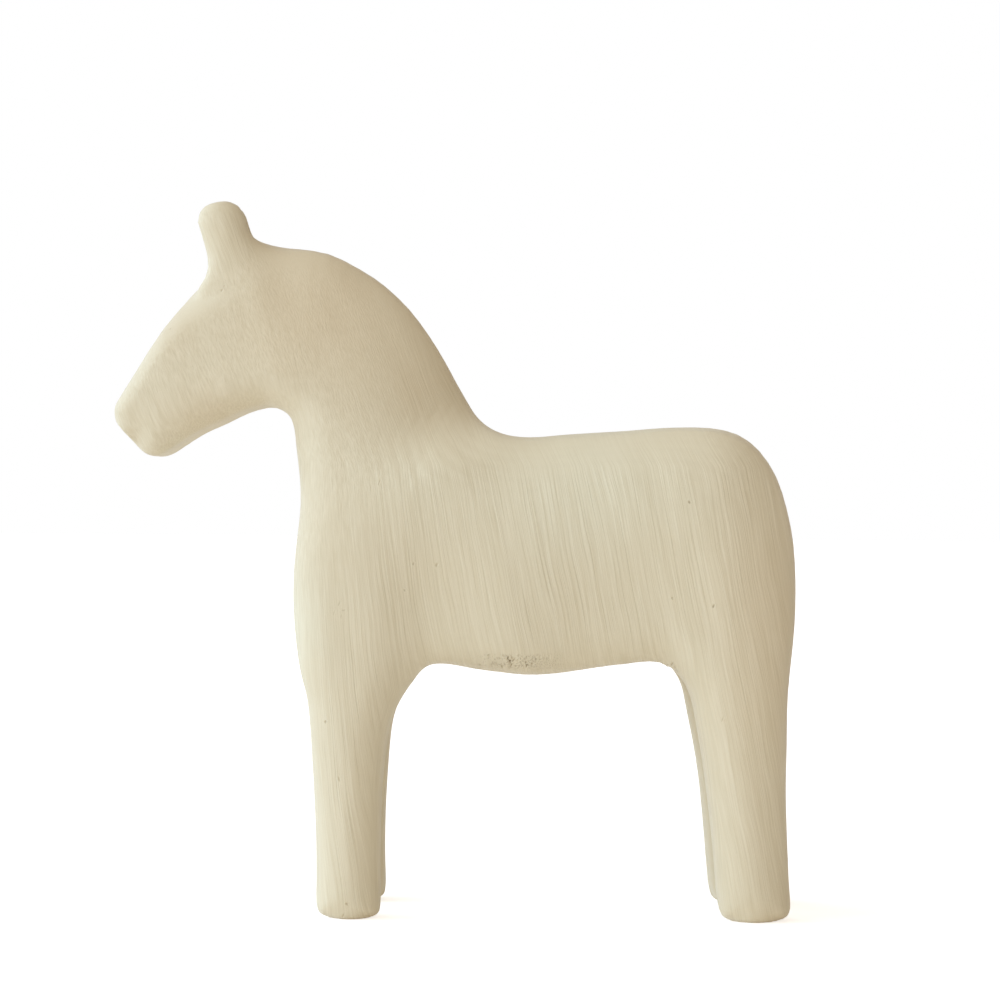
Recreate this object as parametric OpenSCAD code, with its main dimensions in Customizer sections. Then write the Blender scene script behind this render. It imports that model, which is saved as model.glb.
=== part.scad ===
// Carved standing horse, made from three glued pine boards and four cross dowels.
// The horse faces -X, +Z is up and its left side is -Y. The origin is on the ground,
// under the middle of the bounding box.

/* [Horse] */
// Height from the ground to the tips of the ears
horse_h = 200; // [180:1:240]
// Width across the flanks
body_w = 60; // [54:1:66]
// Width across the cheeks
head_w = 38; // [32:1:44]
// How far the soft edges of the legs, chest and belly run in from the outline
edge_r = 11; // [8:0.5:12]
// How far the rounding of the back and rump runs in from the outline
back_r = 23; // [16:1:26]
// How far the neck is thinned in from its crest
crest_r = 42; // [30:1:46]
// Thickness of the crest at its edge
crest_t = 10; // [8:1:16]
// How deep the waist is cut in between the legs
waist = 4; // [0:0.5:5]

/* [Boards] */
// Thickness of the middle board, which is also the gap between the legs
core_t = 24; // [24:0.5:26]

/* [Dowels] */
// Diameter of a dowel
dowel_d = 8; // [6:0.5:10]
// Length of a dowel
dowel_l = 44; // [40:1:46]
// Glue clearance on the diameter of a dowel's bore
dowel_fit = 0.2; // [0.1:0.1:0.5]
// Spare depth at each end of a dowel's bore
dowel_relief = 1; // [0.5:0.5:2]

/* [Ears] */
// Gap between the two ears at their tips
ear_gap = 4.5; // [3:0.5:5]
// Thickness of one ear at its tip
ear_t = 9; // [7:0.5:9]

/* [Hidden] */

// The outlines below are drawn for a horse of this height, and k scales them
drawn_h = 199.4;
k = horse_h / drawn_h;
far = 400;
$fn = 48;

cream = [0.85, 0.80, 0.69];
beech = [0.80, 0.62, 0.42];

// Underside: up the hind leg, along the belly and down the back of the front leg
UNDER = [[77.2, 0], [75.6, 0.9], [74.5, 2.8], [73.8, 6], [73.1, 13], [72.2, 24], [70.8, 36],
         [69, 47], [67, 56.8], [65.6, 63.2], [62.8, 67.8], [59.1, 70.6], [54.5, 71.3],
         [48, 70.5], [41, 69.7], [34, 68.7], [27, 67.7], [20, 67.3], [13, 68.2], [6, 69.2],
         [0, 70.2], [-4.4, 70.3], [-8, 69.1], [-11, 65.6], [-14.6, 60], [-17.4, 53],
         [-18.5, 44], [-19.3, 33], [-19.5, 22], [-19.4, 12], [-19.1, 6], [-19.3, 2.8],
         [-20, 0.9], [-21.8, 0]];
// Front: up the front leg and the chest, round the throat and along the jaw to the chin
FRONT = [[-34, 0], [-36, 0.9], [-37, 2.8], [-37.3, 6], [-37.3, 12], [-37.5, 22], [-38, 33],
         [-38.6, 44], [-39.3, 54], [-40.2, 61], [-41.6, 66], [-42.7, 71], [-43.8, 79],
         [-44.3, 88], [-44.1, 97], [-43.3, 106], [-42.7, 114], [-43.1, 122], [-44, 130],
         [-44.6, 135.5], [-46.2, 139.3], [-50, 141.3], [-53.3, 142], [-59.2, 140.3],
         [-65.6, 137.2], [-72.6, 133.8], [-79, 129.6], [-82.6, 127.8], [-85.7, 127.8],
         [-88, 129.2], [-89.4, 130.6]];
// Top: up the back of the hind leg, over the rump, the back, the crest and down the nose
TOP = [[91, 0], [93, 0.9], [94, 2.8], [94.1, 6], [93.6, 13], [93.1, 24], [92.8, 36],
       [92.7, 48], [92.8, 58], [93.6, 68], [94.5, 77], [95.2, 86], [95.4, 95], [94.8, 104.5],
       [92.8, 114.1], [89.7, 123], [84.9, 130.1], [78.9, 134.6], [71.2, 136.5], [62, 136.6],
       [52, 135.9], [42, 135.1], [32, 134.3], [24, 133.6], [17.5, 133.6], [12.6, 134.7],
       [8.8, 136.8], [5.6, 139.8], [3.2, 143.5], [0, 149], [-3.3, 155.1], [-7.8, 162.3],
       [-13.3, 169.5], [-20, 175.7], [-27.3, 180.8], [-36.2, 184.9], [-44.6, 186.5],
       [-51.6, 187], [-56, 188.6], [-61.2, 188.2], [-66, 183.4], [-69.6, 178.2],
       [-74.5, 173], [-82.2, 162.9], [-89.8, 150.9], [-94, 144.2], [-95.7, 140.4],
       [-95.1, 136.9]];
// Places on the outlines: where the front leg meets the body, and the poll
crotch = 22;
chest = 11;
withers = 28;
poll = 40;

// Steps between two outline points, and cells from one outline to the other
steps = 2;
cells = 22;

// How much the soft edges take off each side: along the body and legs, nose, crest and soles
body_edge = 9;
nose_edge = 5;
crest_edge = 3.5;
sole_edge = 3;
// Broad bows inside the edges: how far each runs in, and how much it takes off each side
back_bow = [40, 3];
chest_bow = [30, 3];
face_bow = [34, 4];
brow_bow = [12, 4];
// Depth of the hollow behind the ears, extra thickness of the crest's edge at the poll, and
// the least half width anywhere
ear_hollow = 2;
poll_rim = 5;
thinnest = 4;

// Centres of the dowels, seen from the side
DOWELS = [[-24, 92], [-10, 120], [36, 102], [76, 96]];

// The middle board is cut away between the legs: drawn places along the horse, and heights
front_gap = [[-70, 0], 68.5];
hind_gap = [[50, 120], 67.5];

// One ear: front point, back point and fullness of each slice from root to tip
EAR = [[[-74, 171], [-58.5, 176.5], 1.06], [[-72.6, 174.6], [-57, 180.5], 1.06],
       [[-70.7, 177.8], [-56, 184], 1.06], [[-70, 180.6], [-55.6, 187], 1.05],
       [[-70.1, 183.4], [-56.6, 189.6], 1.03], [[-70.9, 186.6], [-58, 191.8], 1.01],
       [[-71.9, 190], [-59, 194], 1], [[-72.8, 193.3], [-60, 196], 0.95],
       [[-72.5, 195.8], [-61.3, 198], 0.82], [[-71, 197.7], [-63.3, 199], 0.6],
       [[-68.8, 198.7], [-65, 199.4], 0.3]];
ear_sides = 20;

// Smooth curve through a list of points: t counts points, and may fall between two
function at(list, i) = list[min(max(i, 0), len(list) - 1)];
function curve(list, t) =
    let(i = min(floor(t), len(list) - 2), u = t - i,
        a = at(list, i - 1), b = at(list, i), c = at(list, i + 1), d = at(list, i + 2))
    k * (b + (c - a) * u / 2 + (2 * a - 5 * b + 4 * c - d) * u * u / 2
         + (3 * b - a - 3 * c + d) * u * u * u / 2);
function stretch(list, from, to) =
    [for (i = [0 : abs(to - from) * steps]) curve(list, from + sign(to - from) * i / steps)];

// Share of the way from one outline to the other, with the cells closer near both
function spread(u) = 0.25 * u + 0.375 * (1 - cos(180 * u));
function row(p, q) = [for (j = [0 : cells]) p + (q - p) * spread(j / cells)];

// Rows of the body's net: hind leg and belly, above the front leg, and chest to muzzle
leg_top = row(curve(UNDER, crotch), curve(FRONT, chest));
function rows_between(a, b) = [for (i = [0 : len(a) - 1]) row(a[i], b[i])];
belly_rows = rows_between(stretch(UNDER, 0, crotch), stretch(TOP, 0, crotch));
shoulder_rows = rows_between(leg_top,
    [for (j = [0 : cells]) curve(TOP, crotch + (withers - crotch) * j / cells)]);
neck_rows = rows_between(stretch(FRONT, chest, len(FRONT) - 1),
                         stretch(TOP, withers, len(TOP) - 1));
function tail(list) = [for (i = [1 : len(list) - 1]) list[i]];
body_rows = concat(belly_rows, tail(shoulder_rows), tail(neck_rows));
leg_rows = rows_between(stretch(UNDER, len(UNDER) - 1, crotch), stretch(FRONT, 0, chest));
n_body = len(body_rows);
n_leg = len(leg_rows) - 1;

// The outlines as closely spaced points, and the shortest way to one of them
back_line = stretch(TOP, 0, poll);
nose_line = stretch(TOP, poll, len(TOP) - 1);
front_line = stretch(FRONT, 0, len(FRONT) - 1);
under_line = stretch(UNDER, 0, len(UNDER) - 1);
outline_x = [for (p = concat(back_line, nose_line, front_line)) p[0]];
mid_x = (min(outline_x) + max(outline_x)) / 2;
function gap_to(p, a, b) =
    let(u = min(max((p - a) * (b - a) / ((b - a) * (b - a)), 0), 1)) norm(p - a - (b - a) * u);
function gap(p, line) = min([for (i = [0 : len(line) - 2]) gap_to(p, line[i], line[i + 1])]);

// Profiles that fall from 1 at u = 0 to nothing at u = 1: a quarter round, a bow and a slope
function quarter(u) = 1 - sqrt(1 - pow(1 - min(u, 1), 2));
function bow(u) = pow(1 - min(u, 1), 2);
function slope(u) = pow(1 - min(u, 1), 1.8);
function bow_cut(d, size) = size[1] * bow(d / size[0]);

// Soft step from 0 where v is start to 1 where v is finish
function step(v, start, finish) =
    let(u = min(max((v - start) / (finish - start), 0), 1)) u * u * (3 - 2 * u);
function blend(a, b, share) = a + (b - a) * share;

// Where the parts of the horse are in its side view, from 0 outside to 1 inside. Here x and
// z are drawn sizes.
function up_neck(x, z) = step(0.8 * z - 0.6 * x, 100, 166);
function on_leg(z) = step(z, 74, 58);
function on_back(z) = step(z, 55, 105);
function on_crest(x, z) = step(z - 0.4 * x, 122, 144) * step(x, 22, 4);
function on_forehead(x, z) = step(z, 158, 178) * step(x, -50, -66);
function behind_ear(x, z) = step(norm([x + 50, z - 184]), 11, 0);
function on_chest(x, z) = step(z, 62, 82) * step(z, 150, 130);
function on_waist(x, z) = step(x, -25, -5) * step(x, 78, 54) * step(z, 126, 74)
    * (1 - step(abs(x - 16), 26, 0) / 2);

// Half width before the edges are rounded, then what each outline's rounding takes off it
function side(x, z) = blend(body_w, head_w, up_neck(x, z)) / 2 - waist * on_waist(x, z)
    - ear_hollow * behind_ear(x, z);
function back_cut(p, x, z) =
    let(d = gap(p, back_line), back = on_back(z), crest = on_crest(x, z),
        reach = blend(blend(edge_r + 2 * on_leg(z), back_r, back), 8, crest),
        rim = crest_t / 2 + poll_rim * step(x, -42, -67))
    blend(body_edge + 2 * back, crest_edge, crest) * quarter(d / reach)
    + back * (1 - crest) * bow_cut(d, back_bow)
    + crest * (side(x, z) - crest_edge - rim) * slope(d / crest_r);
function nose_cut(p, x, z) =
    let(d = gap(p, nose_line), brow = on_forehead(x, z))
    nose_edge * quarter(d / (nose_edge * (1 + brow)))
    + brow * bow_cut(d, brow_bow) + bow_cut(d, face_bow);
function front_cut(p, x, z) =
    let(d = gap(p, front_line), up = up_neck(x, z), chest = on_chest(x, z))
    (body_edge - 2 * chest - 2 * up) * quarter(d / (edge_r + 2 * on_leg(z) - 3 * up))
    + chest * bow_cut(d, chest_bow);
function under_cut(p) = body_edge * quarter(gap(p, under_line) / edge_r);
function half_width(p) = let(x = p[0] / k, z = p[1] / k)
    max(thinnest, side(x, z) - back_cut(p, x, z) - nose_cut(p, x, z) - front_cut(p, x, z)
        - under_cut(p) - sole_edge * quarter(p[1] / sole_edge));

// Closed skin over the body's net and the front leg's net, mirrored to both sides
module skin() {
    net = concat([for (r = body_rows) each r], [for (i = [0 : n_leg - 1]) each leg_rows[i]]);
    n = len(net);
    wide = [for (p = net) half_width(p)];
    w = cells + 1;
    function body_id(i, j) = i * w + j;
    // The front leg's last row is the front leg's top line in the body's net
    function leg_id(i, j) = i < n_leg ? (n_body + i) * w + j
        : body_id(len(belly_rows) - 1 + j, 0);
    quads = concat(
        [for (i = [0 : n_body - 2], j = [0 : cells - 1])
            [body_id(i, j), body_id(i, j + 1), body_id(i + 1, j + 1), body_id(i + 1, j)]],
        [for (i = [0 : n_leg - 1], j = [0 : cells - 1])
            [leg_id(i, j), leg_id(i + 1, j), leg_id(i + 1, j + 1), leg_id(i, j + 1)]]);
    rim = concat(
        [for (i = [0 : len(belly_rows) - 2]) [body_id(i, 0), body_id(i + 1, 0)]],
        [for (i = [n_leg : -1 : 1]) [leg_id(i, 0), leg_id(i - 1, 0)]],
        [for (j = [0 : cells - 1]) [leg_id(0, j), leg_id(0, j + 1)]],
        [for (i = [0 : n_leg - 1]) [leg_id(i, cells), leg_id(i + 1, cells)]],
        [for (i = [len(belly_rows) + cells - 1 : n_body - 2]) [body_id(i, 0), body_id(i + 1, 0)]],
        [for (j = [0 : cells - 1]) [body_id(n_body - 1, j), body_id(n_body - 1, j + 1)]],
        [for (i = [n_body - 1 : -1 : 1]) [body_id(i, cells), body_id(i - 1, cells)]],
        [for (j = [cells : -1 : 1]) [body_id(0, j), body_id(0, j - 1)]]);
    points = concat([for (i = [0 : n - 1]) [net[i][0], -wide[i], net[i][1]]],
                    [for (i = [0 : n - 1]) [net[i][0], wide[i], net[i][1]]]);
    polyhedron(points, concat(
        [for (q = quads) each [[q[2], q[1], q[0]], [q[3], q[2], q[0]]]],
        [for (q = quads) each [[q[0] + n, q[1] + n, q[2] + n], [q[0] + n, q[2] + n, q[3] + n]]],
        [for (e = rim) each [[e[1], e[0], e[0] + n], [e[1], e[0] + n, e[1] + n]]]));
}

// Right ear, a stack of oval slices that starts inside the head
module ear() {
    last = len(EAR) - 1;
    ear_y = (ear_gap + ear_t) / 2;
    points = [for (s = EAR, j = [0 : ear_sides - 1])
        let(a = 360 * j / ear_sides, p = k * ((s[0] + s[1]) + (s[1] - s[0]) * cos(a)) / 2)
        [p[0], ear_y + s[2] * ear_t / 2 * sin(a), p[1]]];
    function id(i, j) = i * ear_sides + j % ear_sides;
    polyhedron(points, concat(
        [for (i = [0 : last - 1], j = [0 : ear_sides - 1]) each
            [[id(i, j), id(i + 1, j), id(i + 1, j + 1)], [id(i, j), id(i + 1, j + 1), id(i, j + 1)]]],
        [[for (j = [0 : ear_sides - 1]) id(0, j)]],
        [[for (j = [ear_sides - 1 : -1 : 0]) id(last, j)]]));
}

// Puts the middle of the outline over the origin
module place() translate([-mid_x, 0, 0]) children();

// Slab between two depths, as wide and high as is needed
module slab(y0, y1) translate([-far / 2, y0, -1]) cube([far, y1 - y0, far]);

// Bores or rods along Y on the dowels' centres
module dowel_rod(i, d, l)
    translate([k * DOWELS[i][0], l / 2, k * DOWELS[i][1]]) rotate([90, 0, 0]) cylinder(d = d, h = l);
module dowel_bores()
    for (i = [0 : len(DOWELS) - 1]) dowel_rod(i, dowel_d + dowel_fit, dowel_l + 2 * dowel_relief);

module core_board() {
    color(cream) place() difference() {
        union() {
            intersection() {
                skin();
                slab(-core_t / 2, core_t / 2);
            }
            ear();
            mirror([0, 1, 0]) ear();
        }
        for (g = [front_gap, hind_gap])
            translate([k * g[0][0], -far / 2, -1])
                cube([k * (g[0][1] - g[0][0]), far, k * g[1] + 1]);
        dowel_bores();
    }
}

module side_board() {
    color(cream) place() difference() {
        intersection() {
            skin();
            slab(core_t / 2, body_w);
        }
        dowel_bores();
    }
}
module left_side_board() mirror([0, 1, 0]) side_board();
module right_side_board() side_board();

module dowel(i) color(beech) place() dowel_rod(i, dowel_d, dowel_l);

core_board();
left_side_board();
right_side_board();
for (i = [0 : len(DOWELS) - 1])
    dowel(i);
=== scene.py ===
"""Looks of a carved, painted wooden horse: three glued pine boards and four beech dowels.

The boards' skin is one carved surface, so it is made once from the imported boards, worked like
carved wood, and then cut at the glue planes into one piece per board.
"""
import math
import random

import bmesh
import bpy
import numpy as np
from mathutils import Matrix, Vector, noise


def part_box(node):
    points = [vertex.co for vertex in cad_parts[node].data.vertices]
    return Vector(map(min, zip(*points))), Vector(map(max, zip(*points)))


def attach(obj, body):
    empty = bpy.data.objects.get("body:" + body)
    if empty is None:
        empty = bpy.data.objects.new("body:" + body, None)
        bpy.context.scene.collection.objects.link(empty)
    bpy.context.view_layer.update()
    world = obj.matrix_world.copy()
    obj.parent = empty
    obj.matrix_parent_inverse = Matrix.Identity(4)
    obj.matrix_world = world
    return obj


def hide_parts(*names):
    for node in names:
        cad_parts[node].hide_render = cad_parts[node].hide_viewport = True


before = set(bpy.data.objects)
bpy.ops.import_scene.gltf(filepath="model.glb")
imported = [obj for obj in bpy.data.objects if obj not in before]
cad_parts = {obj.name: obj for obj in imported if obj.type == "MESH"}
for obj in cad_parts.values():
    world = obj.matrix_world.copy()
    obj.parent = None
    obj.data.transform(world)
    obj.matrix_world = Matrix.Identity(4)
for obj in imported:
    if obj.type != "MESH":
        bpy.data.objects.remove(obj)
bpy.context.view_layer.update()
MM = 0.001

# ---- sizes -------------------------------------------------------------------------------
VOXEL = 0.7 * MM            # grid of the worked skin
RELAX_ROUNDS = 30           # passes that turn the design's facets into carved rounds
CORE_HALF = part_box("core_board")[1][1]
GLUE_Y = CORE_HALF - 0.1 * MM    # glue planes, a little nearer the middle than the legs
SNAP = 0.02 * MM            # points this near a glue plane move onto it
WELD = 0.002 * MM           # points nearer than this become one
LEG_TOP = 70.0              # height in mm below which the inner leg faces stay flat

# The brush lines lean back with height, less at the chest and more in the neck
LEAN = 0.20
STEADY_Z = 60.0             # height in mm at which the lean begins, up and down
CHEST_X, FLANK_X = -45.0, -5.0
CHEST_SHARE = 0.25
NECK_Z, NECK_LEAN = 126.0, 0.30
SWERVE = 1.6                # how far the brush lines swerve, in mm

# Fillet between ear and head: the two ends of its line as x, z and how far it reaches, in mm
EAR_ROOT = ((-54.5, 186.5, 14.0), (-65.0, 177.0, 6.0))
EAR_FULL = 1.6              # how soon the fillet is at full strength on its way in
EAR_ROUNDS = 160
# Rounding of the legs' inner edges, as far as this from the board's inner face, in mm
LEG_EDGE = 9.0
LEG_FADE = 3.0              # over this far it fades out sideways
LEG_LOW, LEG_SOFT = 4.0, 6.0    # how far below LEG_TOP it starts, and over what height
LEG_ROUNDS = 130

# Unevenness left by knife and brush: cell across and along the brush lines, and height, in mm
KNIFE_WAVES = (11.0, 24.0, 0.26)
BRUSH_RIDGES = (1.5, 60.0, 0.06)
# They begin this far out from a leg's inner face and grow over this far, in mm
INNER_GAP, INNER_FADE = 0.3, 2.0
SOLE_FADE = 3.0             # below this height in mm they fade out
SOLE_Z = 0.12               # what lies lower than this height in mm is on the ground
# How far the skin's normal points along X where the brush lines begin and end their turn
TURN_FROM, TURN_TO = 0.6, 0.9

# Painted light and shade in soft patches: x, z, half width, half height in mm, and amount.
# Painted light, lighter and whiter where light falls, is positive; painted shade, darker and browner,
# is negative
LIGHT_AND_SHADE_PATCHES = [
    (36, 121, 28, 20, 1.0), (-11, 123, 14, 13, 0.45), (-38, 170, 26, 24, -1.0),
    (-70, 140, 12, 8, -0.7), (86, 82, 14, 40, -0.8), (-42, 82, 8, 14, 0.7), (-80, 165, 8, 10, -0.5),
    (-8, 147, 11, 10, -0.5),
]
# Where the brush left long grooves
GROOVES = [
    (30, 98, 32, 30, 0.9), (-12, 118, 9, 14, 0.6), (-36, 150, 22, 26, 0.4),
    (76, 45, 14, 34, 0.4), (-27, 40, 14, 36, 1.0), (80, 100, 10, 26, 0.4),
]

# Flaws on the left side: x, z, half width, half height and depth, in mm. Negative is raised.
FLAWS = [
    (15.5, 72.5, 0.28, 0.70, 0.40), (16.1, 71.6, 0.32, 0.75, 0.60), (16.5, 70.7, 0.34, 0.60, 0.50),
    (20.5, 71.5, 0.28, 0.65, 0.42), (20.8, 70.7, 0.34, 0.50, 0.42),
    (61.2, 71.2, 0.35, 0.80, 0.25), (61.9, 70.2, 0.35, 0.80, 0.28), (62.6, 69.2, 0.35, 0.70, 0.22),
    (58.9, 71.3, 0.60, 0.50, -0.30), (60.0, 70.5, 0.60, 0.50, -0.32),
    (-28.2, 4.7, 0.50, 0.50, 0.35), (-29.3, 1.3, 0.35, 0.90, 0.22),
    (-65.5, 174.6, 0.40, 0.50, 0.20), (-79.8, 163.5, 0.35, 0.35, 0.20),
    (65.2, 116.2, 0.45, 0.40, 0.30), (60.8, 89.7, 0.40, 0.45, 0.26), (72.1, 87.6, 0.45, 0.55, 0.32),
    (-34.6, 54.8, 0.45, 0.45, 0.28), (-30.6, 39.2, 0.40, 0.90, 0.20),
    (-13.0, 91.3, 0.40, 0.40, 0.20), (-10.6, 98.6, 0.35, 0.50, 0.22),
    (-4.2, 98.3, 0.45, 0.75, 0.26), (-31.0, 87.4, 0.26, 0.90, 0.16), (-32.3, 85.0, 0.24, 0.90, 0.13),
    (-29.7, 85.7, 0.70, 0.24, 0.15), (-30.3, 84.0, 0.22, 0.80, 0.12),
    (-20.2, 121.0, 0.28, 1.00, 0.16), (74.8, 56.5, 0.32, 0.80, 0.18),
]
# Torn grain along the belly's edge: range of x and z, and how many small tears
TORN = ((7.5, 28.0), (69.8, 73.4), 60)
# Stray pits on the right side and the back: range of x and z, and how many
STRAY = ((-30.0, 88.0), (15.0, 126.0), 14)
FINE_CUTS = 3               # cuts in each grid edge round a flaw
CUT_REACH = 0.9             # how far round a flaw the grid is cut, in mm
FLAW_SLANT = 0.25           # how far a flaw slants, to the left or the right
RIM = 0.15                  # height of the rim round a flaw, as a share of its depth
RIM_AT, RIM_WIDE = 1.2, 0.3     # where the rim is and how wide, as shares of the flaw's size

DOWELS = [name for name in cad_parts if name.startswith("dowel")]
BORE_SLACK = 0.1 * MM       # the bores' glue clearance on the radius
BORE_RELIEF = 1.0 * MM      # their spare depth at each end
FLUTES = 16
FLUTE_DEPTH = 0.3 * MM
DOWEL_CHAMFER = 1.0 * MM
DOWEL_RINGS = 12            # stretches along a dowel
BORE_SIDES = 48             # flat strips round a bore's wall

# ---- paint -------------------------------------------------------------------------------
# Cells of the noise in the paint: across and along the brush lines, in mm
HAIRS, STROKES, NAP = (0.24, 12), (0.7, 34), (0.55, 8)
BANDS, CLOUDS = (3.6, 50), (20, 28)
GROOVE_LINES, SPECKS, GRIT = (0.8, 70), (0.40, 0.9), (0.5, 0.5)
SWERVE_CELL = (20, 45)
HEAD_RISE = (72, 96)        # 0.6 of the height less the place along the horse, in mm: body to neck
PAINT_RELIEF = 0.16 * MM
THIN_PAINT, FULL_PAINT = (0.640, 0.567, 0.400, 1), (0.740, 0.672, 0.505, 1)
CLOUD_PAINT = (0.690, 0.610, 0.435, 1)
PAINTED_SHADE_TINT, PAINTED_LIGHT_TINT = (0.955, 0.91, 0.87, 1), (1.045, 1.09, 1.13, 1)    # painted shade and painted light; these multiply the paint
GROOVE_BROWN, TORN_BROWN = (0.50, 0.42, 0.27, 1), (0.44, 0.345, 0.205, 1)
# Brown of bare wood in the flaws, together with painted shade in their hollows
BARE_WOOD_AND_SHADE = (0.32, 0.235, 0.125, 1)

# ---- light: broad soft glows of the studio's walls and ceiling ---------------------------
# Azimuth in degrees from the camera to the left (negative) or right as the camera sees it,
# height above the horizon in degrees, how narrow the glow is, and its colour
GLOWS = [
    (-90, 5, 2, (2.47, 2.95, 3.48)),     # wide, cool light from the left, as from tall windows
    (140, 15, 3, (0.46, 0.38, 0.26)),    # weak, warm light from behind on the right
    (0, 3, 8, (0.72, 0.86, 1.02)),       # fill from beside the camera
    (0, 30, 8, (1.16, 0.96, 0.74)),      # warm wall above the camera
    (0, 90, 8, (1.28, 1.00, 0.68)),      # ceiling
]
FLOOR_LIGHT = (0.215, 0.181, 0.140)      # what the floor gives back besides its reflection
FLOOR_WHITE = 0.62                       # lifts the floor in view to the white of the backdrop
FLOOR_RADIUS = 9.0                       # in metres

# ---- camera: a level long lens -----------------------------------------------------------
SENSOR = 36                 # width in mm
LENS = 3.217 * SENSOR       # focal length in mm
CAMERA_AT = (0.0130, -0.9147, 0.1163)    # in metres
CAMERA_ROLL = 0.477         # in degrees


# ---- the carved skin ---------------------------------------------------------------------
def welded_copy(names):
    """One mesh that holds copies of the named CAD nodes."""
    work = bmesh.new()
    for name in names:
        work.from_mesh(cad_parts[name].data)
    bmesh.ops.remove_doubles(work, verts=work.verts, dist=0.001 * MM)
    mesh = bpy.data.meshes.new("skin")
    work.to_mesh(mesh)
    work.free()
    return mesh


def new_piece(name, mesh):
    piece = bpy.data.objects.new(name, mesh)
    bpy.context.scene.collection.objects.link(piece)
    return piece


def baked(piece):
    """The piece's mesh with its modifiers applied."""
    graph = bpy.context.evaluated_depsgraph_get()
    mesh = bpy.data.meshes.new_from_object(piece.evaluated_get(graph))
    piece.modifiers.clear()
    old, piece.data = piece.data, mesh
    bpy.data.meshes.remove(old)
    return mesh


def vectors_of(items, field):
    values = np.empty(len(items) * 3)
    items.foreach_get(field, values)
    return values.reshape(-1, 3)


def neighbour_mean(co, edges):
    """The mean place of each point's neighbours."""
    n = len(co)
    count = np.maximum(np.bincount(edges.ravel(), minlength=n), 1)[:, None]
    total = np.stack([np.bincount(edges[:, 0], co[edges[:, 1], k], n)
                      + np.bincount(edges[:, 1], co[edges[:, 0], k], n)
                      for k in range(3)], axis=1)
    return total / count


def relax(co, edges, rounds):
    """Smooths without shrinking: a pull to the neighbours' mean, then a slightly larger push."""
    for _ in range(rounds):
        for step in (0.5, -0.53):
            co = co + step * (neighbour_mean(co, edges) - co)
    return co


def even_out(co, edges, share, rounds):
    """Rounds the skin off where each point's share, from 0 to 1, lets it move."""
    chosen = np.flatnonzero(share > 0)
    place = np.full(len(co), -1)
    place[chosen] = np.arange(len(chosen))
    inner = place[edges]
    inner = inner[(inner >= 0).all(axis=1)]
    spot = co[chosen]
    pull = 0.5 * share[chosen][:, None]
    for _ in range(rounds):
        spot = spot + pull * (neighbour_mean(spot, inner) - spot)
    co[chosen] = spot
    return co


def ear_share(co):
    """1 along the hollow between the ears and the head, 0 out of its reach."""
    (x0, z0, reach0), (x1, z1, reach1) = EAR_ROOT
    start, run = np.array((x0, z0)), np.array((x1 - x0, z1 - z0))
    flat = co[:, (0, 2)] / MM - start
    along = np.clip(flat @ run / (run @ run), 0, 1)
    reach = reach0 + (reach1 - reach0) * along
    far = np.linalg.norm(flat - along[:, None] * run, axis=1) / reach
    return np.clip(EAR_FULL * (1 - far), 0, 1) ** 2


def leg_share(co):
    """1 at the legs' inner edges, 0 at their outer half and at the belly."""
    deep = (np.abs(co[:, 1]) - CORE_HALF) / MM
    below = (LEG_TOP - LEG_LOW - co[:, 2] / MM) / LEG_SOFT
    return np.clip((LEG_EDGE - deep) / LEG_FADE, 0, 1) * np.clip(below, 0, 1)


def flaw_list():
    """All flaws as (side, x, z, half width, half height, depth), the scattered ones seeded."""
    flaws = [(-1, *flaw) for flaw in FLAWS]
    dice = random.Random(11)
    (x0, x1), (z0, z1), count = TORN
    for _ in range(count):
        x = dice.triangular(x0, x1, x0 + 0.4 * (x1 - x0))
        flaws.append((-1, x, dice.uniform(z0, z1), dice.uniform(0.18, 0.34),
                      dice.uniform(0.2, 0.55), dice.uniform(0.12, 0.30)))
    (x0, x1), (z0, z1), count = STRAY
    for _ in range(count):
        flaws.append((1, dice.uniform(x0, x1), dice.uniform(z0, z1), dice.uniform(0.25, 0.5),
                      dice.uniform(0.3, 0.9), dice.uniform(0.12, 0.3)))
    return flaws


def refine(mesh, flaws):
    """Cuts the grid finer round each flaw, so that it is a shape of its own."""
    work = bmesh.new()
    work.from_mesh(mesh)
    edges = []
    for edge in work.edges:
        x, y, z = (edge.verts[0].co + edge.verts[1].co) / (2 * MM)
        for side, fx, fz, wide, high, _ in flaws:
            near = abs(x - fx) < wide + CUT_REACH and abs(z - fz) < high + CUT_REACH
            if y * side > 0 and near:
                edges.append(edge)
                break
    bmesh.ops.subdivide_edges(work, edges=edges, cuts=FINE_CUTS, use_grid_fill=True)
    work.normal_update()
    work.to_mesh(mesh)
    work.free()


def noise_at(*axes):
    return np.array([noise.noise(spot) for spot in np.stack(axes, axis=1).tolist()])


def patchwork(x, z, patches):
    """Sum of soft patches in side view."""
    return sum(amount * np.exp(-((x - px) / wide) ** 2 - ((z - pz) / high) ** 2)
               for px, pz, wide, high, amount in patches)


def keep_on_points(mesh, name, values):
    mesh.attributes.new(name, "FLOAT", "POINT").data.foreach_set("value", values)


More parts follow.
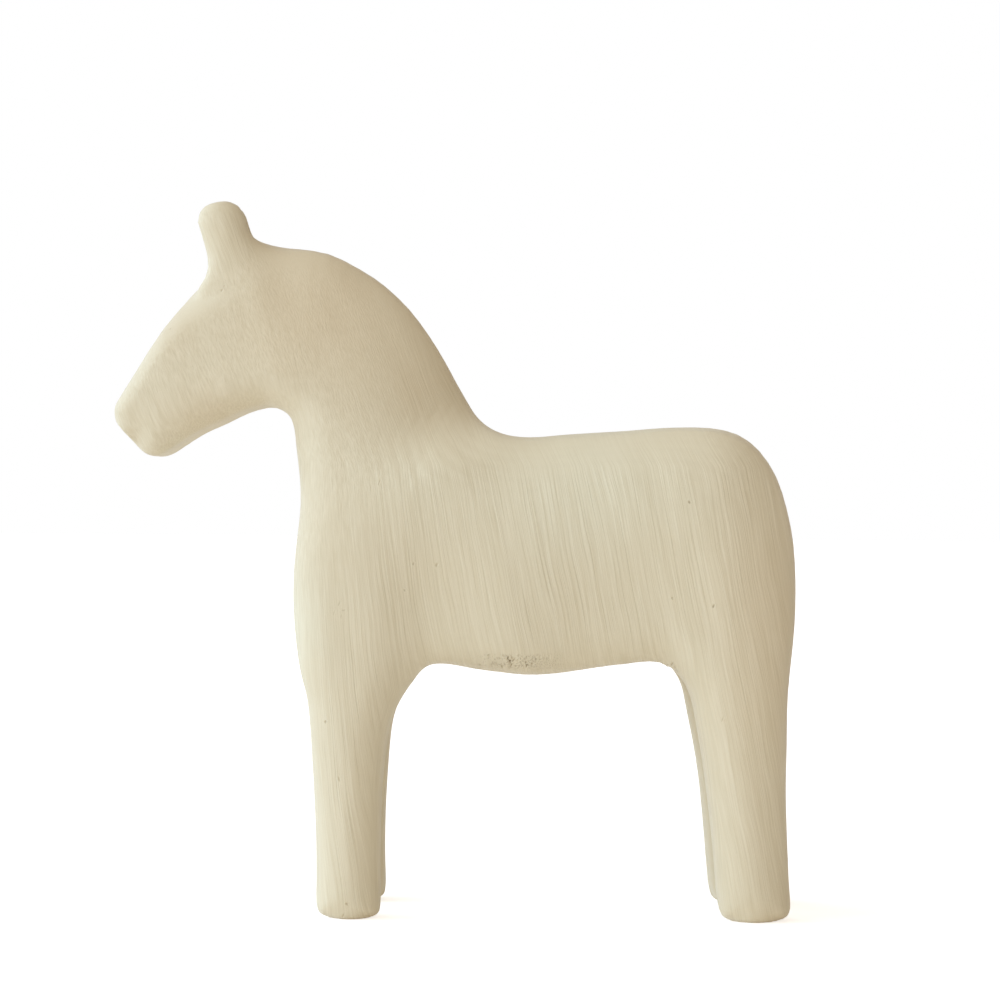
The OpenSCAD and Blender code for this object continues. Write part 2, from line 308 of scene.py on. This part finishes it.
def tool_marks(x, y, z, normal):
    """Height in mm of the knife waves and brush ridges."""
    share = np.interp(x, (CHEST_X, FLANK_X), (CHEST_SHARE, 1))
    across = x + LEAN * share * (z - STEADY_Z) + NECK_LEAN * np.maximum(z - NECK_Z, 0)
    wide, long, size = KNIFE_WAVES
    height = size * noise_at(across / wide, y / wide, z / long)
    # On faces that look along X the ridges lie side by side in Y
    wide, long, size = BRUSH_RIDGES
    turned = np.clip((np.abs(normal[:, 0]) - TURN_FROM) / (TURN_TO - TURN_FROM), 0, 1)
    ridges = (1 - turned) * noise_at(across / wide, y / long, z / long)
    ridges += turned * noise_at(across / long, y / wide, z / long)
    # The ridges are fainter on what faces up
    height += size * ridges * np.clip(1.4 - 3 * normal[:, 2], 0.2, 1)
    # The inner leg faces and the soles stay flat
    out = np.clip((np.abs(y) - CORE_HALF / MM - INNER_GAP) / INNER_FADE, 0, 1)
    height *= np.where(z < LEG_TOP, out, 1)
    height *= np.clip(z / SOLE_FADE, 0, 1)
    return height


def add_flaws(height, x, y, z, flaws):
    """Adds flaws and their rims to the height in mm, and gives the depth of the deepest flaw."""
    deepest = np.zeros(len(height))
    for side, fx, fz, wide, high, depth in flaws:
        slant = FLAW_SLANT * math.copysign(1, math.sin(fx * 7))
        far = ((x - fx - slant * (z - fz)) / wide) ** 2 + ((z - fz) / high) ** 2
        dent = np.where((far < 1) & (y * side > 0), depth * (1 - far) ** 1.5, 0)
        bump = np.exp(-((np.sqrt(far) - RIM_AT) / RIM_WIDE) ** 2)
        rim = np.where((far < 4) & (y * side > 0), bump, 0)
        height += RIM * abs(depth) * rim - dent
        deepest = np.maximum(deepest, dent)
    return deepest


def torn_share(x, y, z):
    """1 in the torn grain along the belly's edge, falling to 0 round it."""
    (x0, x1), (z0, z1), _ = TORN
    off = np.maximum(np.abs(x - (x0 + x1) / 2) / (x1 - x0), np.abs(z - (z0 + z1) / 2) / (z1 - z0))
    return np.where(y < 0, np.clip(1.6 - 2 * off, 0, 1), 0)


def carve(mesh, flaws):
    """Moves the skin along its normals, and keeps on its points what the paint needs to know."""
    co = vectors_of(mesh.vertices, "co") / MM
    normal = vectors_of(mesh.vertices, "normal")
    # These are views of co, so they hold the new places once the skin has moved
    x, y, z = co.T
    height = tool_marks(x, y, z, normal)
    deepest = add_flaws(height, x, y, z, flaws)
    co += normal * height[:, None]
    co[:, 2] = np.where(z < SOLE_Z, 0, np.maximum(co[:, 2], 0))
    mesh.vertices.foreach_set("co", (co * MM).ravel())
    keep_on_points(mesh, "flaw_depth", deepest)
    keep_on_points(mesh, "painted_light_level", patchwork(x, z, LIGHT_AND_SHADE_PATCHES))
    keep_on_points(mesh, "groove_share", np.minimum(patchwork(x, z, GROOVES), 1))
    keep_on_points(mesh, "torn_grain", torn_share(x, y, z))
    mesh.update()


def carved_skin():
    skin = new_piece("skin", welded_copy(["core_board", "left_side_board", "right_side_board"]))
    remesh = skin.modifiers.new("grid", "REMESH")
    remesh.mode = "VOXEL"
    remesh.voxel_size = VOXEL
    mesh = baked(skin)
    edges = np.empty(len(mesh.edges) * 2, dtype=np.int64)
    mesh.edges.foreach_get("vertices", edges)
    edges = edges.reshape(-1, 2)
    co = relax(vectors_of(mesh.vertices, "co"), edges, RELAX_ROUNDS)
    co = even_out(co, edges, ear_share(co), EAR_ROUNDS)
    co = even_out(co, edges, leg_share(co), LEG_ROUNDS)
    mesh.vertices.foreach_set("co", co.ravel())
    mesh.shade_smooth()
    flaws = flaw_list()
    refine(mesh, flaws)
    carve(mesh, flaws)
    return skin


# ---- cutting the skin into boards --------------------------------------------------------
def cut(mesh, keeps):
    """Keeps the mesh on the side of each (y, sign) plane, closes the cut and marks its rim."""
    work = bmesh.new()
    work.from_mesh(mesh)
    for y, sign in keeps:
        geom = work.verts[:] + work.edges[:] + work.faces[:]
        made = bmesh.ops.bisect_plane(work, geom=geom, dist=SNAP, use_snap_center=True,
                                      plane_co=(0, y, 0), plane_no=(0, sign, 0), clear_inner=True)
        rim = [e for e in made["geom_cut"] if isinstance(e, bmesh.types.BMEdge) and e.is_boundary]
        filled = bmesh.ops.triangle_fill(work, edges=rim, use_dissolve=False, use_beauty=True)
        for face in filled["geom"]:
            if isinstance(face, bmesh.types.BMFace):
                face.material_index = 1
                face.smooth = False
        for edge in rim:
            edge.smooth = False
    bmesh.ops.recalc_face_normals(work, faces=work.faces)
    part = bpy.data.meshes.new("board")
    work.to_mesh(part)
    work.free()
    return part


def round_rod(work, centre, rings, sides, grooves=0, groove=0.0):
    """Closed rod along Y: rings are (y, radius), and grooves run along its sides."""
    loops = []
    for y, radius in rings:
        loop = []
        for i in range(sides):
            angle = 2 * math.pi * i / sides
            dip = groove * max(0, math.cos(grooves * angle)) ** 2 if grooves else 0.0
            r = radius - dip
            loop.append(work.verts.new((centre[0] + r * math.cos(angle), y,
                                        centre[2] + r * math.sin(angle))))
        loops.append(loop)
    for a, b in zip(loops, loops[1:]):
        for i in range(sides):
            j = (i + 1) % sides
            work.faces.new((a[i], a[j], b[j], b[i]))
    work.faces.new(loops[0][::-1])
    work.faces.new(loops[-1])
    bmesh.ops.recalc_face_normals(work, faces=work.faces)
    return work


def middle_of(node):
    low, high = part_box(node)
    return [(low[k] + high[k]) / 2 for k in range(3)]


def weld(mesh):
    """Closes the slivers that cuts leave."""
    work = bmesh.new()
    work.from_mesh(mesh)
    bmesh.ops.remove_doubles(work, verts=work.verts, dist=WELD)
    bmesh.ops.dissolve_degenerate(work, edges=work.edges, dist=WELD)
    work.to_mesh(mesh)
    work.free()


def drill_bores(board, dowels):
    """Drills the dowels' blind bores into a board."""
    work = bmesh.new()
    for node in dowels:
        low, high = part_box(node)
        radius = (high[0] - low[0]) / 2 + BORE_SLACK
        ends = (low[1] - BORE_RELIEF, high[1] + BORE_RELIEF)
        round_rod(work, middle_of(node), [(ends[0], radius), (ends[1], radius)], BORE_SIDES)
    mesh = bpy.data.meshes.new("bores")
    work.to_mesh(mesh)
    work.free()
    mesh.materials.append(None)
    mesh.materials.append(None)
    for face in mesh.polygons:
        face.material_index = 1
    drill = new_piece("drill", mesh)
    change = board.modifiers.new("bores", "BOOLEAN")
    change.operation, change.solver, change.object = "DIFFERENCE", "MANIFOLD", drill
    weld(baked(board))
    bpy.data.objects.remove(drill)


def make_board(skin, node, keeps, paint, glued):
    board = new_piece("carved_" + node, cut(skin.data, keeps))
    for material in (paint, glued):
        board.data.materials.append(material)
    drill_bores(board, DOWELS)
    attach(board, "root")
    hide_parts(node)


# ---- dowels ------------------------------------------------------------------------------
def make_dowel(node, wood):
    """Fluted beech dowel with chamfered ends, in the place of the plain one."""
    low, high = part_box(node)
    radius = (high[0] - low[0]) / 2
    length = high[1] - low[1]
    # A chamfer's rings as shares of its size: along the dowel, and in from its side
    rings = [(low[1] + along * DOWEL_CHAMFER, radius - down * DOWEL_CHAMFER)
             for along, down in ((0, 1), (0.5, 0.45), (1, 0.1))]
    rings += [(low[1] + length * k / DOWEL_RINGS, radius) for k in range(1, DOWEL_RINGS)]
    rings += [(low[1] + high[1] - y, r) for y, r in rings[2::-1]]
    work = round_rod(bmesh.new(), middle_of(node), rings, 6 * FLUTES, FLUTES, FLUTE_DEPTH)
    mesh = bpy.data.meshes.new("fluted_" + node)
    work.to_mesh(mesh)
    work.free()
    for face in mesh.polygons:
        face.use_smooth = len(face.vertices) == 4
    mesh.materials.append(wood)
    dowel = new_piece("fluted_" + node, mesh)
    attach(dowel, "root")
    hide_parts(node)


# ---- materials ---------------------------------------------------------------------------
class Tree:
    """Short calls for building the nodes of a material or of the world."""

    def __init__(self, tree):
        self.tree = tree

    def link(self, source, target):
        self.tree.links.new(source, target)

    def put(self, kind, inputs=(), **settings):
        node = self.tree.nodes.new("ShaderNode" + kind)
        for key, value in settings.items():
            setattr(node, key, value)
        for key, value in dict(inputs).items():
            if isinstance(value, bpy.types.NodeSocket):
                self.link(value, node.inputs[key])
            else:
                node.inputs[key].default_value = value
        return node

    def math(self, operation, a, b=0.0, c=0.0):
        return self.put("Math", {0: a, 1: b, 2: c}, operation=operation).outputs[0]

    def blend(self, share, a, b):
        """The number a where share is 0, b where it is 1."""
        return self.math("ADD", a, self.math("MULTIPLY", self.math("SUBTRACT", b, a), share))

    def noise(self, vector, scale=1.0, detail=2.0, roughness=0.5):
        return self.put("TexNoise", {"Vector": vector, "Scale": scale, "Detail": detail,
                                     "Roughness": roughness}).outputs["Fac"]

    def ramp(self, value, low, high, to_low=0.0, to_high=1.0):
        return self.put("MapRange", {"Value": value, "From Min": low, "From Max": high,
                                     "To Min": to_low, "To Max": to_high}).outputs["Result"]

    def mix(self, share, a, b, **settings):
        """The colour a where share is 0, b where it is 1."""
        node = self.put("Mix", {0: share, 6: a, 7: b}, data_type="RGBA", **settings)
        return node.outputs[2]

    def attribute(self, name):
        return self.put("Attribute", attribute_name=name).outputs["Fac"]


class Finish(Tree):
    """The nodes of one new material."""

    def __init__(self, name):
        self.material = bpy.data.materials.new(name)
        self.material.use_nodes = True
        super().__init__(self.material.node_tree)
        self.shader = self.tree.nodes["Principled BSDF"]

    def bump(self, height, distance, strength=1.0):
        node = self.put("Bump", {"Height": height, "Strength": strength, "Distance": distance})
        self.link(node.outputs[0], self.shader.inputs["Normal"])

    def set(self, **values):
        """Sets numbers and colours on the shader, with _ for a space in a socket's name."""
        for key, value in values.items():
            self.shader.inputs[key.replace("_", " ")].default_value = value


def in_cells(make, space, *sizes):
    """Coordinates whose unit cell has these three sizes in mm."""
    axes = {k: make.math("DIVIDE", space[k], sizes[k]) for k in range(3)}
    return make.put("CombineXYZ", axes).outputs[0]


def stretched(make, space, wide, long):
    """Coordinates whose unit cell is wide mm across the brush lines and long mm along them."""
    return in_cells(make, space, wide, wide, long)


def brushed(make, space, turned, wide, long, detail=1.0):
    """Noise in brush lines, side by side in X, or in Y where the skin is turned to look along X."""
    lines = [make.noise(in_cells(make, space, *cell), detail=detail)
             for cell in ((wide, long, long), (long, wide, long))]
    return make.blend(turned, *lines)


def grain_space(make):
    """The place on the horse in mm, sheared so that its Z runs along the brush lines."""
    place = make.put("TexCoord").outputs["Object"]
    axes = make.put("SeparateXYZ", {0: place})
    x, y, z = (make.math("MULTIPLY", axes.outputs[k], 1 / MM) for k in range(3))
    share = make.ramp(x, CHEST_X, FLANK_X, CHEST_SHARE * LEAN, LEAN)
    lean = make.math("MULTIPLY", make.math("SUBTRACT", z, STEADY_Z), share)
    above = make.math("MAXIMUM", make.math("SUBTRACT", z, NECK_Z), 0.0)
    neck = make.math("MULTIPLY", above, NECK_LEAN)
    swerve = make.noise(stretched(make, (x, y, z), *SWERVE_CELL), detail=2.0)
    x = make.math("ADD", x, make.math("ADD", lean, neck))
    return make.math("ADD", x, make.ramp(swerve, 0.0, 1.0, -SWERVE, SWERVE)), y, z


def paint_streaks(make, space, turned, front, calm):
    """Fibres, brush strokes and their sum, with a short nap in their place at the front."""
    hairs = brushed(make, space, turned, *HAIRS)
    strokes = brushed(make, space, turned, *STROKES, detail=2.0)
    nap = make.noise(stretched(make, space, *NAP), detail=2.0)
    bands = make.noise(stretched(make, space, *BANDS), detail=1.0)
    hairs = make.blend(front, hairs, nap)
    strokes = make.blend(make.math("MULTIPLY", front, 0.8), strokes, nap)
    streaks = make.math("ADD", make.math("MULTIPLY", hairs, 0.48),
                        make.math("ADD", make.math("MULTIPLY", strokes, 0.38),
                                  make.math("MULTIPLY", bands, 0.14)))
    # Calmed round its middle value
    streaks = make.math("MULTIPLY", make.math("SUBTRACT", streaks, 0.5), calm)
    return hairs, strokes, make.math("ADD", streaks, 0.5)


def paint_colour(make, space, streaks, groove, speck):
    """Cream that goes with the streaks, with painted light and shade in soft patches, darker in
    grooves, and darker in flaws for bare wood and painted shade.
    """
    cloud = make.noise(stretched(make, space, *CLOUDS), detail=2.0)
    colour = make.mix(make.ramp(streaks, 0.36, 0.64), THIN_PAINT, FULL_PAINT)
    colour = make.mix(make.ramp(cloud, 0.35, 0.7, 0.0, 0.30), colour, CLOUD_PAINT)
    # Painted light and shade: lighter and whiter where light falls on the form, darker and browner
    # where it is in shade
    painted_shading = make.mix(make.ramp(make.attribute("painted_light_level"), -1.0, 1.0), PAINTED_SHADE_TINT, PAINTED_LIGHT_TINT)
    colour = make.mix(1.0, colour, painted_shading, blend_type="MULTIPLY")
    colour = make.mix(make.math("MULTIPLY", groove, 0.20), colour, GROOVE_BROWN)
    colour = make.mix(make.math("MULTIPLY", speck, 0.45), colour, TORN_BROWN)
    # Flaws grow darker with their depth: bare wood inside them, and painted shade in the hollow
    bare_and_shaded = make.ramp(make.attribute("flaw_depth"), 0.06, 0.5, 0.0, 0.6)
    return make.mix(bare_and_shaded, colour, BARE_WOOD_AND_SHADE)


def painted_pine():
    """Thin matt cream paint, brushed over grain that still shows as fine streaks."""
    make = Finish("painted_pine")
    space = grain_space(make)
    facing = make.put("SeparateXYZ", {0: make.put("TexCoord").outputs["Normal"]}).outputs
    turned = make.ramp(make.math("ABSOLUTE", facing[0]), TURN_FROM, TURN_TO)
    # The neck and head, far up and forwards, have a short nap instead of long brush lines
    rise = make.math("SUBTRACT", make.math("MULTIPLY", space[2], 0.6), space[0])
    front = make.ramp(rise, *HEAD_RISE)
    # They are calmer too, and so is what faces up
    calm = make.math("MULTIPLY", make.ramp(front, 0.0, 1.0, 1.0, 0.68),
                     make.ramp(facing[2], 0.26, 0.50, 1.0, 0.35))
    hairs, strokes, streaks = paint_streaks(make, space, turned, front, calm)
    groove = make.math("MULTIPLY", make.ramp(brushed(make, space, turned, *GROOVE_LINES), 0.58, 0.68),
                       make.attribute("groove_share"))
    speck = make.noise(stretched(make, space, *SPECKS), detail=1.0)
    speck = make.math("MULTIPLY", make.ramp(speck, 0.56, 0.70), make.attribute("torn_grain"))
    colour = paint_colour(make, space, streaks, make.math("MULTIPLY", groove, calm), speck)
    make.link(colour, make.shader.inputs["Base Color"])
    make.link(make.ramp(streaks, 0.3, 0.7, 0.66, 0.54), make.shader.inputs["Roughness"])
    grit = make.noise(stretched(make, space, *GRIT), detail=2.0)
    height = make.math("ADD", make.math("MULTIPLY", hairs, 0.35),
                       make.math("ADD", strokes, make.math("MULTIPLY", grit, 0.15)))
    height = make.math("SUBTRACT", height, make.math("MULTIPLY", groove, 0.5))
    height = make.math("MULTIPLY", height, calm)
    make.bump(make.math("SUBTRACT", height, make.math("MULTIPLY", speck, 0.8)), PAINT_RELIEF)
    make.set(Specular_IOR_Level=0.4, Sheen_Weight=0.3, Sheen_Roughness=0.45)
    return make.material


def bare_pine():
    """Planed pine as on the glue faces: yellow early wood and darker late wood."""
    make = Finish("glued_pine_face")
    space = grain_space(make)
    rings = make.put("TexWave", {"Vector": stretched(make, space, 4.0, 90), "Scale": 1.0,
                                 "Distortion": 2.5, "Detail": 2.0}, wave_type="BANDS",
                     bands_direction="X").outputs["Fac"]
    fibre = make.noise(stretched(make, space, 0.5, 12), detail=3.0)
    share = make.math("ADD", make.math("MULTIPLY", rings, 0.7), make.math("MULTIPLY", fibre, 0.4))
    early_wood, late_wood = (0.72, 0.52, 0.30, 1), (0.50, 0.30, 0.14, 1)
    colour = make.mix(share, early_wood, late_wood)
    make.link(colour, make.shader.inputs["Base Color"])
    make.bump(fibre, 0.1 * MM, 0.3)
    make.set(Roughness=0.7)
    return make.material


def beech():
    """Turned beech: short dark flecks along the dowel in a pinkish brown ground."""
    make = Finish("turned_beech")
    fleck = make.noise(in_cells(make, grain_space(make), 0.5, 6.0, 0.5), detail=3.0)
    ground, dark = (0.62, 0.40, 0.22, 1), (0.50, 0.29, 0.14, 1)
    colour = make.mix(make.ramp(fleck, 0.35, 0.65), ground, dark)
    make.link(colour, make.shader.inputs["Base Color"])
    make.bump(fleck, 0.05 * MM, 0.3)
    make.set(Roughness=0.55)
    return make.material


# ---- stage -------------------------------------------------------------------------------
def make_floor():
    """Pale floor, lifted to white where the camera sees it."""
    mesh = bpy.data.meshes.new("floor")
    work = bmesh.new()
    bmesh.ops.create_circle(work, cap_ends=True, segments=96, radius=FLOOR_RADIUS)
    work.to_mesh(mesh)
    work.free()
    floor = new_piece("floor", mesh)
    make = Finish("pale_floor")
    seen = make.put("LightPath").outputs["Is Camera Ray"]
    grain = make.noise(make.put("TexCoord").outputs["Object"], scale=3.0)
    pale = make.mix(grain, (0.78, 0.78, 0.78, 1), (0.82, 0.82, 0.82, 1))
    make.link(pale, make.shader.inputs["Base Color"])
    glow = make.mix(seen, (*FLOOR_LIGHT, 1), (FLOOR_WHITE, FLOOR_WHITE, FLOOR_WHITE, 1))
    make.link(glow, make.shader.inputs["Emission Color"])
    make.set(Roughness=0.9, Specular_IOR_Level=0.0, Emission_Strength=1.0)
    mesh.materials.append(make.material)


def toward(azimuth, height):
    """Unit vector to a place seen from the horse, where azimuth 0 is straight at the camera."""
    a, h = math.radians(azimuth), math.radians(height)
    return (math.sin(a) * math.cos(h), -math.cos(a) * math.cos(h), math.sin(h))


def make_lights():
    """White room for the camera, and soft glows on its walls for everything else."""
    world = bpy.data.worlds.new("studio")
    bpy.context.scene.world = world
    world.use_nodes = True
    make = Tree(world.node_tree)
    view = make.put("TexCoord").outputs["Generated"]
    total = None
    for azimuth, height, narrow, colour in GLOWS:
        facing = make.put("VectorMath", {0: view, 1: toward(azimuth, height)},
                          operation="DOT_PRODUCT").outputs["Value"]
        facing = make.math("POWER", make.math("MAXIMUM", facing, 0.0), narrow)
        glow = make.put("VectorMath", {0: colour, "Scale": facing},
                        operation="SCALE").outputs["Vector"]
        total = make.put("VectorMath", {0: glow, 1: total}).outputs["Vector"] if total else glow
    walls = make.tree.nodes["Background"]
    make.link(total, walls.inputs["Color"])
    white = make.put("Background", {"Color": (1, 1, 1, 1)})
    seen = make.put("LightPath").outputs["Is Camera Ray"]
    pick = make.put("MixShader", {0: seen, 1: walls.outputs[0], 2: white.outputs[0]})
    make.link(pick.outputs[0], make.tree.nodes["World Output"].inputs["Surface"])


def make_camera():
    """Level long lens at the horse's mid height, as for a catalogue picture."""
    data = bpy.data.cameras.new("camera")
    data.sensor_width = SENSOR
    data.lens = LENS
    camera = bpy.data.objects.new("camera", data)
    bpy.context.scene.collection.objects.link(camera)
    level = Matrix.Rotation(math.pi / 2, 4, "X")
    roll = Matrix.Rotation(math.radians(CAMERA_ROLL), 4, "Z")
    camera.matrix_world = Matrix.Translation(CAMERA_AT) @ level @ roll
    data.clip_start, data.clip_end = 0.05, 50
    bpy.context.scene.camera = camera


# ---- build -------------------------------------------------------------------------------
bpy.context.scene.view_settings.view_transform = "Standard"
skin = carved_skin()
paint, glued = painted_pine(), bare_pine()
make_board(skin, "core_board", [(-GLUE_Y, 1), (GLUE_Y, -1)], paint, glued)
make_board(skin, "left_side_board", [(-GLUE_Y, -1)], paint, glued)
make_board(skin, "right_side_board", [(GLUE_Y, 1)], paint, glued)
bpy.data.objects.remove(skin)
wood = beech()
for name in DOWELS:
    make_dowel(name, wood)
make_floor()
make_lights()
make_camera()
